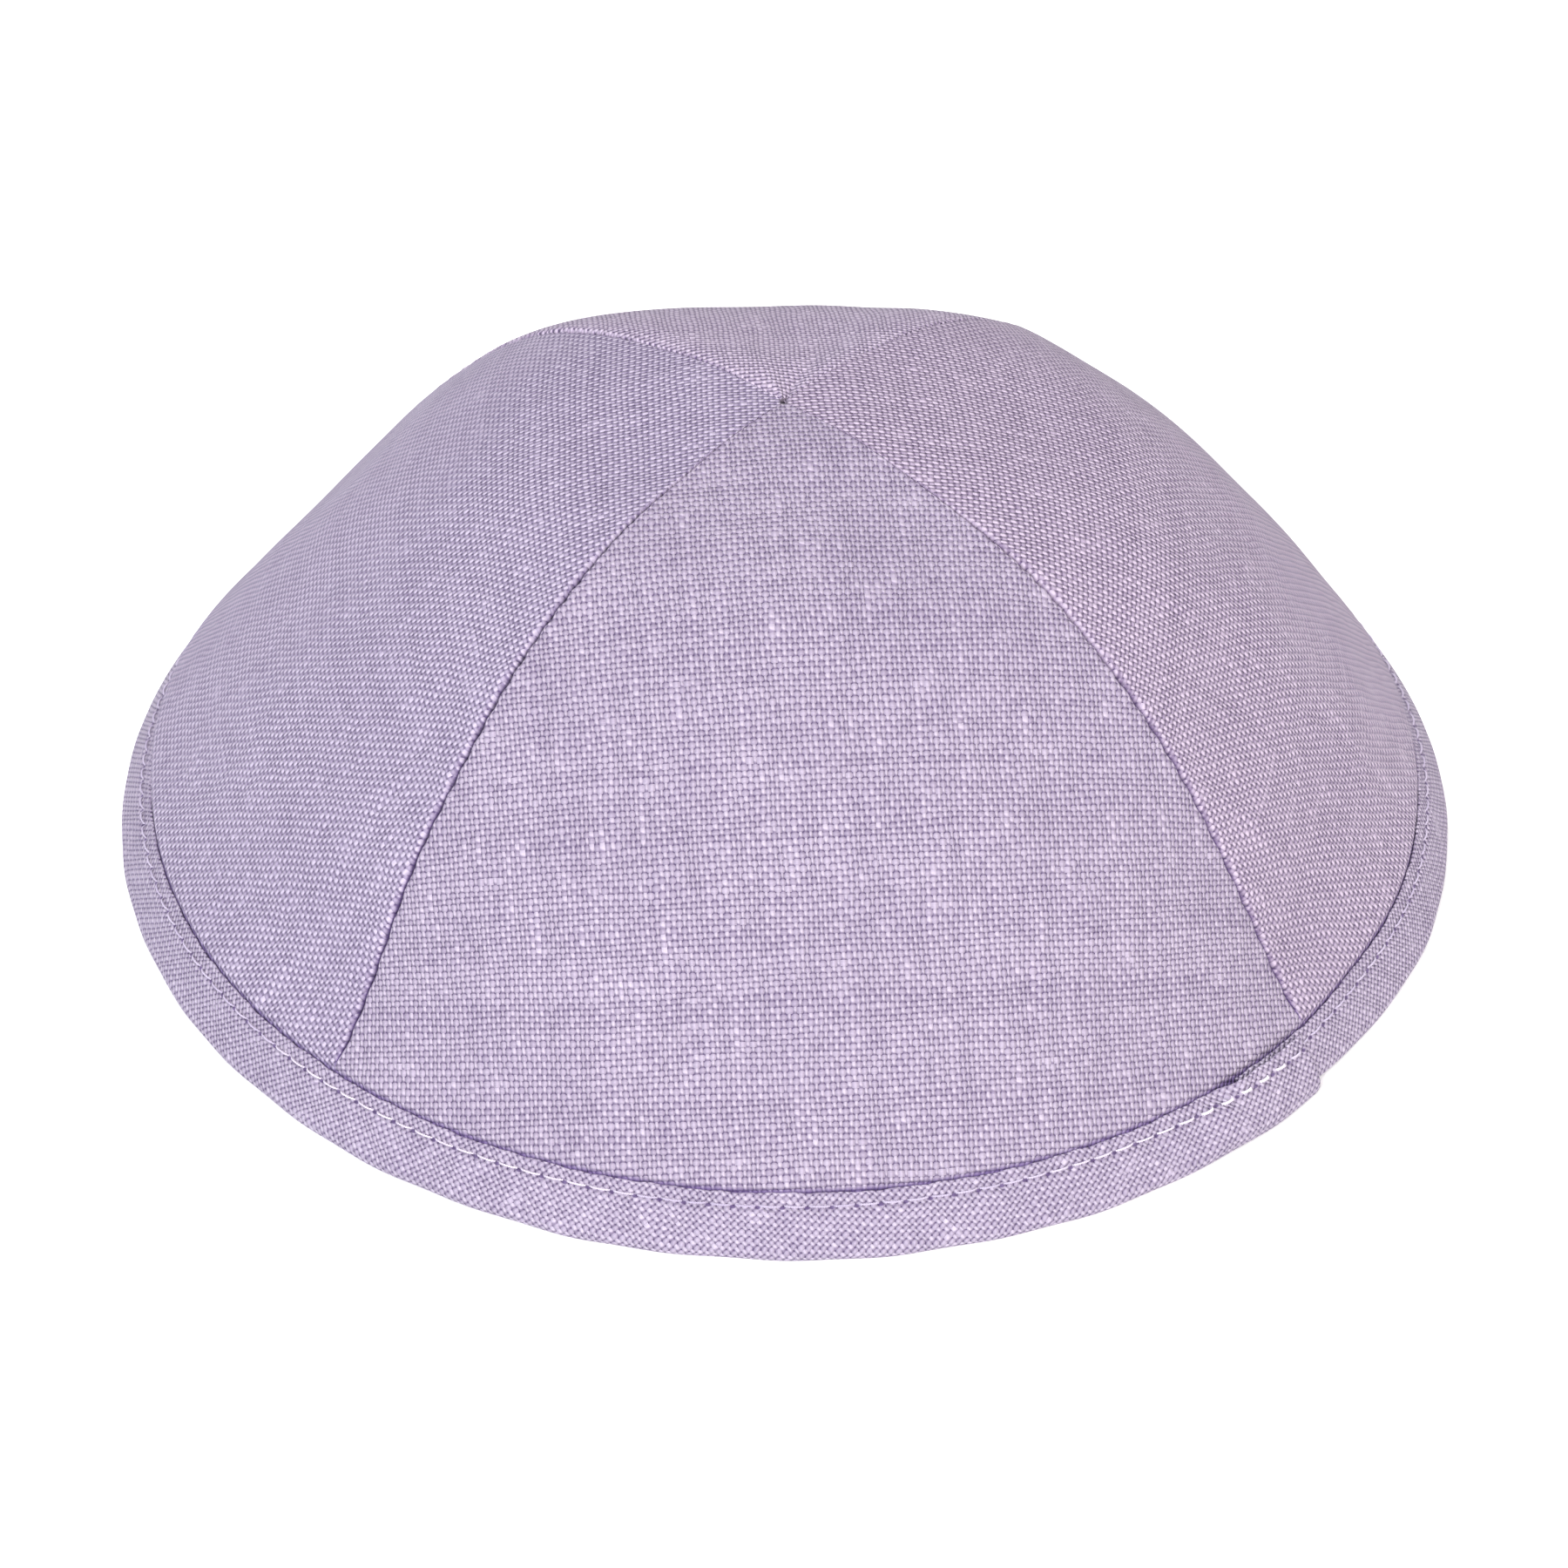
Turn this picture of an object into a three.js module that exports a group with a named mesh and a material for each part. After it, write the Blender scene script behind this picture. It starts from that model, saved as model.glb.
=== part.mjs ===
// Four-panel linen skullcap: four gores that meet in a point, bound round the rim with a lapped bias tape.
// Millimetres, +Z up. The origin is the middle of the rim, on the surface that the cap rests on.
// The front panel faces -Y. An azimuth is counted from the front, and grows towards the right, +X.

import * as THREE from 'three';

// Driving dimensions
const rimDiameter = 180;       // over the tape, where it is widest
const capHeight = 67.6;        // from the surface it rests on to the point of the crown
const clothWall = 1.2;         // a gore, with its turned-in seam allowances
const tapeWall = 1.0;          // the tape, with its raw edges folded under
const clearance = 0.3;         // between pieces that are sewn together
const tapeHeight = 8.6;        // the tape's outer leg above the surface
const tapeInset = 3.8;         // how far its top edge lies inside the rim
const innerLegHeight = 7.4;    // the tape's inner leg above the surface
const restDepth = 0.15;        // how much of the tape's round bottom is pressed flat
const edgeRound = 0.3;         // rounding of the tape's folded edges
const lapLength = 12;          // how far the tape's end lies over its start
const lapRamp = 16;            // length over which the end climbs on to the start
const tapeEndAzimuth = 49.3;   // the folded end of the tape, just left of the front right seam
const crownHole = 0.9;         // radius of the tiny opening where the four points meet
const seamRoll = 1.3;          // width of the cloth that rolls in beside a seam
const narrowRoll = 1 / 6;      // the same as a share of a gore's width, where that is less
const seamDip = 0.4;           // depth of the valley that two rolled edges leave
const fullDipReach = 0.15;     // reach of a seam, as in the sections, from which the valley is that deep
const puffInset = 0.6;         // how far the free cloth stays inside the tape's face

// The rim isn't quite round
const ovalShare = 0.0067;
const ovalAzimuth = 65;

// Azimuths of the seams. A slack seam hangs a little lower than a taut one.
const seams = {
  frontLeft: { azimuth: -42.2, slack: 0 },
  frontRight: { azimuth: 50.7, slack: 1 },
  backRight: { azimuth: 141.6, slack: 1 },
  backLeft: { azimuth: 226.8, slack: 0 },
};

// Sections of the crown, from its point down to the tape.
// reach: of a seam from the axis, as a share of its reach at the tape
// rise: height above the tape's top edge, as a share of the crown's height above it
// sag: how much lower a slack seam hangs, as a share of the same height
// front, right, back, left: 0 where the section is straight between two seams, 1 where it is an arc
const sections = [
  { reach: 0.00, rise: 1.000, sag: 0.000, front: 0.26, right: 0.63, back: 0.09, left: 0.44 },
  { reach: 0.12, rise: 0.996, sag: 0.004, front: 0.30, right: 0.69, back: 0.13, left: 0.47 },
  { reach: 0.24, rise: 0.970, sag: 0.012, front: 0.35, right: 0.75, back: 0.18, left: 0.50 },
  { reach: 0.36, rise: 0.930, sag: 0.017, front: 0.42, right: 0.85, back: 0.27, left: 0.60 },
  { reach: 0.48, rise: 0.861, sag: 0.010, front: 0.50, right: 0.94, back: 0.35, left: 0.65 },
  { reach: 0.60, rise: 0.741, sag: 0.005, front: 0.59, right: 1.00, back: 0.47, left: 0.67 },
  { reach: 0.71, rise: 0.591, sag: 0.002, front: 0.69, right: 0.98, back: 0.59, left: 0.70 },
  { reach: 0.80, rise: 0.443, sag: 0.001, front: 0.78, right: 0.97, back: 0.71, left: 0.78 },
  { reach: 0.88, rise: 0.262, sag: 0.000, front: 0.89, right: 1.00, back: 0.85, left: 0.90 },
  { reach: 0.94, rise: 0.117, sag: 0.000, front: 0.96, right: 1.00, back: 0.94, left: 0.97 },
  { reach: 1.00, rise: 0.000, sag: 0.000, front: 1.00, right: 1.00, back: 1.00, left: 1.00 },
];

// The hem of a gore, from the puff of cloth over the tape's top edge to the raw edge down inside the tape.
// from: where its height is counted from, the top edge of the tape or the room that its lap needs at the foot
// along: up the rim's section, in millimetres
// outside, inside: the two faces from the middle of the hem, as shares of half the cloth's wall
const hemRows = [
  { from: 'edge', along: 1.3, outside: 2.25, inside: -1.1 },
  { from: 'edge', along: 0.4, outside: 1.5, inside: -1.0 },
  { from: 'edge', along: -0.3, outside: 1.0, inside: -1.0 },
  { from: 'foot', along: 0.6, outside: 1.0, inside: -1.0 },
  { from: 'foot', along: 0.0, outside: 0.5, inside: -0.5 },
];

// How finely the shapes are divided
const panelRows = 17;          // rows of faces from the crown to the puff over the tape
const panelColumns = 15;       // columns of faces between the rolled edges
const crownSide = 0.982;       // reach of the last row above the puff
const outerArcSteps = 3;       // faces round the tape's bottom, outside the flat that it rests on
const innerArcSteps = 2;       // and inside it
const leastFlat = 12;          // degrees of that arc that half the flat takes at least
const lapSteps = 4;            // stations along the lap of the tape
const rampSteps = 4;           // and along each climb
const tapeStep = 5.4;          // degrees between its plain stations
const normalStep = 0.004;      // share of a gore over which its slope is taken
const heightRounding = 1e-6;   // heights below this lie on the surface

const linen = { front: 0xc2b4cd, right: 0xbdaec3, back: 0xb5a7bf, left: 0xb7abc6, tape: 0xc4b6cf };

// Value of a column of the sections at a reach, on a curve that runs through every row without overshoot
function sectionValue(column, reach) {
  const last = sections.length - 1;
  const slopes = [];
  for (let row = 0; row < last; row += 1) {
    const step = sections[row + 1].reach - sections[row].reach;
    slopes.push((sections[row + 1][column] - sections[row][column]) / step);
  }
  const tangent = (row) => {
    if (row === 0) return slopes[0];
    if (row === last) return slopes[last - 1];
    const product = slopes[row - 1] * slopes[row];
    return product <= 0 ? 0 : (2 * product) / (slopes[row - 1] + slopes[row]);
  };
  let row = 0;
  while (row < last - 1 && reach > sections[row + 1].reach) row += 1;
  const step = sections[row + 1].reach - sections[row].reach;
  const s = (reach - sections[row].reach) / step;
  const start = sections[row][column] * (1 + 2 * s) * (1 - s) * (1 - s);
  const end = sections[row + 1][column] * s * s * (3 - 2 * s);
  const leave = tangent(row) * step * s * (1 - s) * (1 - s);
  const arrive = tangent(row + 1) * step * s * s * (s - 1);
  return start + end + leave + arrive;
}

function radians(degrees) {
  return THREE.MathUtils.degToRad(degrees);
}

// Direction in plan at an azimuth
function planDirection(azimuth) {
  return new THREE.Vector2(Math.sin(radians(azimuth)), -Math.cos(radians(azimuth)));
}

// A plan point, stretched by the slight oval of the rim
function ovalPoint(x, y, z) {
  const azimuth = Math.atan2(x, -y);
  const stretch = 1 + ovalShare * Math.cos(2 * (azimuth - radians(ovalAzimuth)));
  return new THREE.Vector3(x * stretch, y * stretch, z);
}

// The point of the rim's section (out from the axis, up) at an azimuth
function rimPoint(azimuth, out, up) {
  const direction = planDirection(azimuth);
  return ovalPoint(direction.x * out, direction.y * out, up);
}

// The rim's section. The hem line runs up the middle of the gore's thickness under the tape,
// from the centre of the tape's round bottom. Offsets across it are positive towards the outside.
const tapeReach = clothWall / 2 + clearance + tapeWall;
const hemFoot = new THREE.Vector2(rimDiameter / 2 - tapeReach, tapeReach - restDepth);
const tapeCorner = new THREE.Vector2(rimDiameter / 2 - tapeInset, tapeHeight);
const footToCorner = tapeCorner.clone().sub(hemFoot);
const lean = Math.atan2(-footToCorner.x, footToCorner.y) + Math.asin(tapeReach / footToCorner.length());
const hemOut = new THREE.Vector2(Math.cos(lean), Math.sin(lean));
const hemUp = new THREE.Vector2(-Math.sin(lean), Math.cos(lean));
const outerLegLength = footToCorner.dot(hemUp);
const innerLegLength = (innerLegHeight - hemFoot.y + tapeReach * hemOut.y) / hemUp.y;
const lapLift = tapeWall + clearance;

function hemPoint(along, across) {
  return hemFoot.clone().addScaledVector(hemUp, along).addScaledVector(hemOut, across);
}

const seamFootReach = tapeCorner.x - puffInset;
const crownRise = capHeight - tapeHeight;

// The outside of a gore: across runs from 0 at its left seam to 1 at its right one, reach as in the sections
function skinPoint(panel, across, reach) {
  const left = planDirection(panel.left.azimuth);
  const right = planDirection(panel.right.azimuth);
  const sweep = panel.right.azimuth - panel.left.azimuth;
  const arc = planDirection(panel.left.azimuth + sweep * across);
  const chord = left.lerp(right, across);
  const plan = chord.lerp(arc, sectionValue(panel.side, reach)).multiplyScalar(seamFootReach * reach);
  const slack = THREE.MathUtils.lerp(panel.left.slack, panel.right.slack, across);
  const rise = sectionValue('rise', reach) - sectionValue('sag', reach) * slack;
  return ovalPoint(plan.x, plan.y, tapeHeight + crownRise * rise);
}

// Outward direction of a gore's skin, from its neighbouring points
function skinNormal(panel, across, reach) {
  const before = skinPoint(panel, across - normalStep, reach);
  const after = skinPoint(panel, across + normalStep, reach);
  const above = skinPoint(panel, across, Math.max(reach - normalStep, 0));
  const below = skinPoint(panel, across, Math.min(reach + normalStep, 1));
  return below.sub(above).cross(after.sub(before)).normalize();
}

// Turns the direction through the wall at a gore's edge into the upright plane of its seam
function mitre(normal, azimuth) {
  const plan = planDirection(azimuth);
  const acrossSeam = new THREE.Vector3(-plan.y, plan.x, 0);
  normal.addScaledVector(acrossSeam, -normal.dot(acrossSeam));
  normal.divideScalar(normal.lengthSq());
}

// Places across a gore: two close to each seam, where the edge rolls in, and even ones between
function columnShares(panel, reach) {
  const sweep = radians(panel.right.azimuth - panel.left.azimuth);
  const width = 2 * Math.sin(sweep / 2) * seamFootReach * reach;
  const slant = Math.cos(sweep / 2);
  const edge = clearance / 2 / (width * slant);
  const roll = Math.min(seamRoll / width, (1 - 2 * edge) * narrowRoll);
  const shares = [edge];
  for (let column = 0; column <= panelColumns; column += 1) {
    shares.push(edge + roll + ((1 - 2 * edge - 2 * roll) * column) / panelColumns);
  }
  shares.push(1 - edge);
  return shares;
}

// A closed shell from two grids of points of the same size, one for each face of the cloth
function closedShell(outside, inside) {
  const rows = outside.length;
  const columns = outside[0].length;
  const positions = [];
  for (const grid of [outside, inside]) {
    for (const row of grid) {
      for (const point of row) positions.push(point.x, point.y, point.z);
    }
  }
  const outer = (row, column) => row * columns + column;
  const inner = (row, column) => rows * columns + row * columns + column;
  const index = [];
  const addQuad = (a, b, c, d) => index.push(a, b, c, a, c, d);
  for (let row = 0; row < rows - 1; row += 1) {
    for (let column = 0; column < columns - 1; column += 1) {
      addQuad(outer(row, column), outer(row + 1, column), outer(row + 1, column + 1), outer(row, column + 1));
      addQuad(inner(row, column), inner(row, column + 1), inner(row + 1, column + 1), inner(row + 1, column));
    }
  }
  for (let column = 0; column < columns - 1; column += 1) {
    addQuad(outer(0, column), outer(0, column + 1), inner(0, column + 1), inner(0, column));
    const last = rows - 1;
    addQuad(outer(last, column + 1), outer(last, column), inner(last, column), inner(last, column + 1));
  }
  for (let row = 0; row < rows - 1; row += 1) {
    addQuad(outer(row + 1, 0), outer(row, 0), inner(row, 0), inner(row + 1, 0));
    const last = columns - 1;
    addQuad(outer(row, last), outer(row + 1, last), inner(row + 1, last), inner(row, last));
  }
  const geometry = new THREE.BufferGeometry();
  geometry.setAttribute('position', new THREE.Float32BufferAttribute(positions, 3));
  geometry.setIndex(index);
  geometry.computeVertexNormals();
  return geometry;
}

function clothMesh(name, geometry, colour) {
  const material = new THREE.MeshStandardMaterial({ color: colour, roughness: 0.92, metalness: 0 });
  material.name = name;
  const mesh = new THREE.Mesh(geometry, material);
  mesh.name = name;
  return mesh;
}

// One gore, from its point at the crown to its hem inside the tape
function makePanel(name, side, left, right) {
  const panel = { side, left, right };
  const outside = [];
  const inside = [];
  const firstReach = crownHole / seamFootReach;
  for (let row = 0; row <= panelRows; row += 1) {
    const share = row / panelRows;
    const reach = THREE.MathUtils.lerp(firstReach, crownSide, share);
    const shares = columnShares(panel, reach);
    const skin = shares.map((across) => skinPoint(panel, across, reach));
    const normals = shares.map((across) => skinNormal(panel, across, reach));
    mitre(normals[0], left.azimuth);
    mitre(normals[shares.length - 1], right.azimuth);
    inside.push(skin.map((point, column) => point.clone().addScaledVector(normals[column], -clothWall)));
    const dip = seamDip * Math.min(1, reach / fullDipReach);
    for (const column of [0, shares.length - 1]) skin[column].addScaledVector(normals[column], -dip);
    outside.push(skin);
  }
  const shares = columnShares(panel, 1);
  const azimuths = shares.map((across) => THREE.MathUtils.lerp(left.azimuth, right.azimuth, across));
  const half = clothWall / 2;
  for (const row of hemRows) {
    const along = row.along + (row.from === 'edge' ? outerLegLength : lapLift);
    const outer = hemPoint(along, row.outside * half);
    const inner = hemPoint(along, row.inside * half);
    outside.push(azimuths.map((azimuth) => rimPoint(azimuth, outer.x, outer.y)));
    inside.push(azimuths.map((azimuth) => rimPoint(azimuth, inner.x, inner.y)));
  }
  return clothMesh(name, closedShell(outside, inside), linen[side]);
}

// Angles of the tape's round bottom, from its outer leg to its inner one. The lowest part between two of
// them is the flat that the cap rests on.
function bottomAngles(outer, lift) {
  const centreHeight = hemFoot.y + lift * hemUp.y;
  const half = Math.max(Math.acos(Math.min(centreHeight / outer, 1)), radians(leastFlat));
  const lowest = Math.PI / 2 + lean;
  const angles = [];
  for (let step = 0; step <= outerArcSteps; step += 1) angles.push(((lowest - half) * step) / outerArcSteps);
  for (let step = 0; step <= innerArcSteps; step += 1) {
    angles.push(THREE.MathUtils.lerp(lowest + half, Math.PI, step / innerArcSteps));
  }
  return angles;
}

// Section of the tape, as pairs of points on its two faces, from the outer leg's top to the inner leg's.
// spread moves the legs apart where the end lies over the start, and lift raises the round bottom.
function tapeSection(spread, lift) {
  const outer = tapeReach + spread;
  const inner = outer - tapeWall;
  const pairs = [];
  const addPair = (along, across, thin) => {
    const sign = Math.sign(across);
    pairs.push({
      outside: hemPoint(along, across - sign * thin),
      inside: hemPoint(along, sign * inner + sign * thin),
    });
  };
  addPair(outerLegLength, outer, edgeRound);
  addPair(outerLegLength - edgeRound, outer, 0);
  addPair((outerLegLength + lift) / 2, outer, 0);
  for (const angle of bottomAngles(outer, lift)) {
    const round = (radius) => hemPoint(lift - radius * Math.sin(angle), radius * Math.cos(angle));
    const outside = round(outer);
    if (outside.y < heightRounding) outside.y = 0;
    pairs.push({ outside, inside: round(inner) });
  }
  addPair((innerLegLength + lift) / 2, -outer, 0);
  addPair(innerLegLength - edgeRound, -outer, 0);
  addPair(innerLegLength, -outer, edgeRound);
  return pairs;
}

// The tape: one strip that starts under its own end, runs once round the rim and laps over its start
function makeTape() {
  const perDegree = radians(1) * (rimDiameter / 2);
  const lap = lapLength / perDegree;
  const ramp = lapRamp / perDegree;
  const joint = clearance / perDegree;
  const start = tapeEndAzimuth - lap;
  const end = tapeEndAzimuth + 360;
  const climb = start + 360 - joint - ramp;
  const plainSteps = Math.ceil((climb - tapeEndAzimuth - ramp) / tapeStep);
  const stations = [];
  const addRun = (from, to, steps) => {
    for (let step = 0; step < steps; step += 1) stations.push(from + ((to - from) * step) / steps);
  };
  addRun(start, tapeEndAzimuth, lapSteps);
  addRun(tapeEndAzimuth, tapeEndAzimuth + ramp, rampSteps);
  addRun(tapeEndAzimuth + ramp, climb, plainSteps);
  addRun(climb, start + 360 - joint, rampSteps);
  addRun(start + 360 - joint, start + 360, 1);
  addRun(start + 360, end, lapSteps);
  stations.push(end);
  const outside = [];
  const inside = [];
  for (const azimuth of stations) {
    const fromStart = 1 - THREE.MathUtils.smoothstep(azimuth, tapeEndAzimuth, tapeEndAzimuth + ramp);
    const toEnd = THREE.MathUtils.smoothstep(azimuth, climb, start + 360 - joint);
    const pairs = tapeSection(lapLift * toEnd, lapLift * Math.max(fromStart, toEnd));
    outside.push(pairs.map((pair) => rimPoint(azimuth, pair.outside.x, pair.outside.y)));
    inside.push(pairs.map((pair) => rimPoint(azimuth, pair.inside.x, pair.inside.y)));
  }
  const turned = (grid) => grid[0].map((_, column) => grid.map((row) => row[column]));
  return clothMesh('edge_tape', closedShell(turned(outside), turned(inside)), linen.tape);
}

const cap = new THREE.Group();
const frontLeftAgain = { ...seams.frontLeft, azimuth: seams.frontLeft.azimuth + 360 };
cap.add(makePanel('panel_front', 'front', seams.frontLeft, seams.frontRight));
cap.add(makePanel('panel_right', 'right', seams.frontRight, seams.backRight));
cap.add(makePanel('panel_back', 'back', seams.backRight, seams.backLeft));
cap.add(makePanel('panel_left', 'left', seams.backLeft, frontLeftAgain));
cap.add(makeTape());

export default cap;
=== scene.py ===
import math

import bpy
import numpy as np
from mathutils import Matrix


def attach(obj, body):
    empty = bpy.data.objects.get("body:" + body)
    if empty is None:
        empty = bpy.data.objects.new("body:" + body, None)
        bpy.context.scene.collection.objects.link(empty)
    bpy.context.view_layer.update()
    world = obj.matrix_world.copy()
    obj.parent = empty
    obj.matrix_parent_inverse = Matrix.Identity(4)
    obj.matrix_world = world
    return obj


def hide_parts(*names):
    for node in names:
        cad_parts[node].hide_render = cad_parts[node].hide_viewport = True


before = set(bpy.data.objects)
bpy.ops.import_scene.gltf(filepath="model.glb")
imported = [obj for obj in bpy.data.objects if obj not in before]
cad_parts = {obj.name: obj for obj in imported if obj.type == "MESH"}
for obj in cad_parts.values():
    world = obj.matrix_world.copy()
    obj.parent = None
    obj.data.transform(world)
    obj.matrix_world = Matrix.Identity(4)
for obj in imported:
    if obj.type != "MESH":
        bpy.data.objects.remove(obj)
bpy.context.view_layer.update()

# THE GORES
# The crown is four triangular gores of plain-weave linen, each cut with the grain down its middle. They are
# sewn edge to edge from the rim to a common point, and their raw edges are turned in, so that each side of a
# gore rolls softly into its seam. Their hems go down inside the tape of the rim.
rim_radius = 0.090
crown_top = 0.0676
cloth_wall = 0.0012
tape_wall = 0.0010
sewn_gap = 0.0003
tape_height = 0.0086
tape_inset = 0.0038
rest_depth = 0.00015
puff_inset = 0.0006
oval_share = 0.0067
oval_azimuth = 65.0
pull_share = 0.0085
pull_azimuth = 59.0
pull_sweep = 8.0
crown_hole = 0.0006
crown_side = 0.982

# Sections of the crown, from its point down to the tape: the reach of a seam from the axis and the rise above
# the tape's edge as shares, how much lower a slack seam hangs, and how round each side is between its seams.
sections = np.array(
    [
        (0.00, 1.000, 0.000, 0.26, 0.63, 0.09, 0.44),
        (0.12, 0.996, 0.004, 0.30, 0.69, 0.13, 0.47),
        (0.24, 0.970, 0.012, 0.35, 0.75, 0.18, 0.50),
        (0.36, 0.930, 0.017, 0.42, 0.85, 0.27, 0.60),
        (0.48, 0.861, 0.010, 0.50, 0.94, 0.35, 0.65),
        (0.60, 0.741, 0.005, 0.59, 1.00, 0.47, 0.67),
        (0.71, 0.591, 0.002, 0.69, 0.98, 0.59, 0.70),
        (0.80, 0.443, 0.001, 0.78, 0.97, 0.71, 0.78),
        (0.88, 0.262, 0.000, 0.89, 1.00, 0.85, 0.90),
        (0.94, 0.117, 0.000, 0.96, 1.00, 0.94, 0.97),
        (1.00, 0.000, 0.000, 1.00, 1.00, 1.00, 1.00),
    ],
    dtype=[(name, float) for name in ("reach", "rise", "sag", "front", "right", "back", "left")],
)
blur_reach = 0.03


def section_curve(column, reach):
    """A column of the sections at a reach, on a curve that runs through every row without overshoot."""
    rows = sections["reach"]
    values = sections[column]
    steps = np.diff(rows)
    slopes = np.diff(values) / steps
    before = slopes[:-1]
    after = slopes[1:]
    both = np.where(before * after > 0, before + after, 1.0)
    inner = np.where(before * after > 0, 2 * before * after / both, 0.0)
    tangents = np.concatenate([slopes[:1], inner, slopes[-1:]])
    row = np.clip(np.searchsorted(rows, reach) - 1, 0, len(rows) - 2)
    s = (reach - rows[row]) / steps[row]
    start = values[row] * (1 + 2 * s) * (1 - s) ** 2
    end = values[row + 1] * s * s * (3 - 2 * s)
    leave = tangents[row] * steps[row] * s * (1 - s) ** 2
    arrive = tangents[row + 1] * steps[row] * s * s * (s - 1)
    return start + end + leave + arrive


def section_value(column, reach):
    """The same curve with its small changes of bend smoothed out, as cloth does."""
    width = np.minimum(blur_reach, np.minimum(reach, 1 - reach))
    return sum(section_curve(column, reach + width * k) for k in (-1, -0.5, 0, 0.5, 1)) / 5


def plan_direction(azimuth):
    """Direction in plan at an azimuth in degrees, counted from the front towards the right."""
    angle = np.radians(azimuth)
    return np.stack([np.sin(angle), -np.cos(angle)], axis=-1)


def oval(points):
    """Points with the rim's slight oval, drawn in beside the join of the tape."""
    azimuth = np.arctan2(points[..., 0], -points[..., 1])
    stretch = 1 + oval_share * np.cos(2 * (azimuth - math.radians(oval_azimuth)))
    low = np.clip(1 - points[..., 2] / 0.03, 0, 1)
    stretch -= pull_share * low * np.exp(-((np.degrees(azimuth) - pull_azimuth) / pull_sweep) ** 2)
    return points * np.stack([stretch, stretch, np.ones_like(stretch)], axis=-1)


# The rim's section. The hem line runs up the middle of a gore's thickness under the tape, from the centre of
# the tape's round bottom, and offsets across it are positive towards the outside.
tape_reach = cloth_wall / 2 + sewn_gap + tape_wall
hem_foot = np.array([rim_radius - tape_reach, tape_reach - rest_depth])
tape_corner = np.array([rim_radius - tape_inset, tape_height])
to_corner = tape_corner - hem_foot
lean = math.atan2(-to_corner[0], to_corner[1]) + math.asin(tape_reach / np.hypot(*to_corner))
hem_out = np.array([math.cos(lean), math.sin(lean)])
hem_up = np.array([-math.sin(lean), math.cos(lean)])
outer_leg = float(to_corner @ hem_up)
lap_lift = tape_wall + sewn_gap
seam_foot = tape_corner[0] - puff_inset
crown_rise = crown_top - tape_height


def hem_point(along, across):
    """(out from the axis, up) of a place in the rim's section."""
    return hem_foot + np.multiply.outer(along, hem_up) + np.multiply.outer(across, hem_out)


def round_rim(azimuth, out, up):
    """Points of the rim at azimuths in degrees, out from the axis and up."""
    plan = plan_direction(azimuth) * np.asarray(out)[..., None]
    return oval(np.concatenate([plan, np.broadcast_to(up, plan.shape[:-1])[..., None]], axis=-1))


def gore_skin(gore, across, reach):
    """The outside of a gore. across runs from 0 at its left seam to 1 at its right one."""
    left = plan_direction(gore["left"])
    right = plan_direction(gore["right"])
    chord = left + (right - left) * across[..., None]
    arc = plan_direction(gore["left"] + (gore["right"] - gore["left"]) * across)
    roundness = section_value(gore["side"], reach)[..., None]
    plan = (chord + (arc - chord) * roundness) * (seam_foot * reach)[..., None]
    slack = gore["left_slack"] + (gore["right_slack"] - gore["left_slack"]) * across
    rise = section_value("rise", reach) - section_value("sag", reach) * slack
    height = tape_height + crown_rise * rise
    return oval(np.concatenate([plan, height[..., None]], axis=-1))


def unit(vectors):
    return vectors / np.linalg.norm(vectors, axis=-1, keepdims=True)


def grid_normals(points):
    """Outward directions of a grid whose rows go down and whose columns go to the right."""
    down = np.gradient(points, axis=0)
    aside = np.gradient(points, axis=1)
    return unit(np.cross(down, aside))


# Shape of a gore's sides and of its cloth. A gore's edge rolls in over roll_radius and meets its neighbour's.
# The seam's stitches pull small puckers, and a side that lies over the turned-in edges stands a little proud.
gore_rows = 210
gore_columns = 84
roll_steps = 6
roll_radius = 0.00075
flat_roll = 0.08
side_gap = 0.00005
pucker_depth = 0.00003
pucker_pitch = 0.0026
pucker_width = 0.0016
proud_width = 0.005
wave_height = 0.00022
back_shoulders = 0.0034
back_hollow = 0.0038
allowance = 0.006
bare_wall = 0.0007
hem_steps = 6
near_blend = 0.25

# The four gores: the azimuths of their seams, whether each seam hangs slack, how proud each side stands, and
# the size and area of the flat cloth that each was cut from, with its seam allowances.
columns = ("left", "right", "left_slack", "right_slack", "left_proud", "right_proud", "wide", "long", "area")
gores = np.array(
    [
        ("front", -42.2, 50.7, 0, 1, -0.00012, -0.00005, 0.149, 0.123, 0.0108),
        ("right", 50.7, 141.6, 1, 1, 0.00012, 0.00010, 0.148, 0.125, 0.0110),
        ("back", 141.6, 226.8, 1, 0, -0.00005, 0.00010, 0.138, 0.122, 0.0100),
        ("left", 226.8, 317.8, 0, 0, -0.00005, 0.00022, 0.147, 0.124, 0.0108),
    ],
    dtype=[("side", "U8")] + [(name, float) for name in columns],
)


# Where the soft cloth stands out from that form, or sinks in: an azimuth in degrees, a height, how far the
# place spreads round and up, and its depth. Low at both sides it hangs out over the tape.
bulges = np.array(
    [
        ("left", 258.0, 0.011, 16.0, 0.009, 0.0009),
        ("left", 246.0, 0.022, 20.0, 0.008, 0.00045),
        ("left", 236.0, 0.035, 12.0, 0.006, -0.0008),
        ("right", 108.0, 0.015, 24.0, 0.009, 0.0008),
        ("back", 164.0, 0.060, 9.0, 0.014, -0.0005),
        ("back", 196.0, 0.060, 12.0, 0.014, 0.0004),
    ],
    dtype=[("side", "U8")] + [(name, float) for name in ("azimuth", "height", "sweep", "spread", "depth")],
)


def smooth_step(value, low, high):
    s = np.clip((value - low) / (high - low), 0, 1)
    return s * s * (3 - 2 * s)


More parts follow.
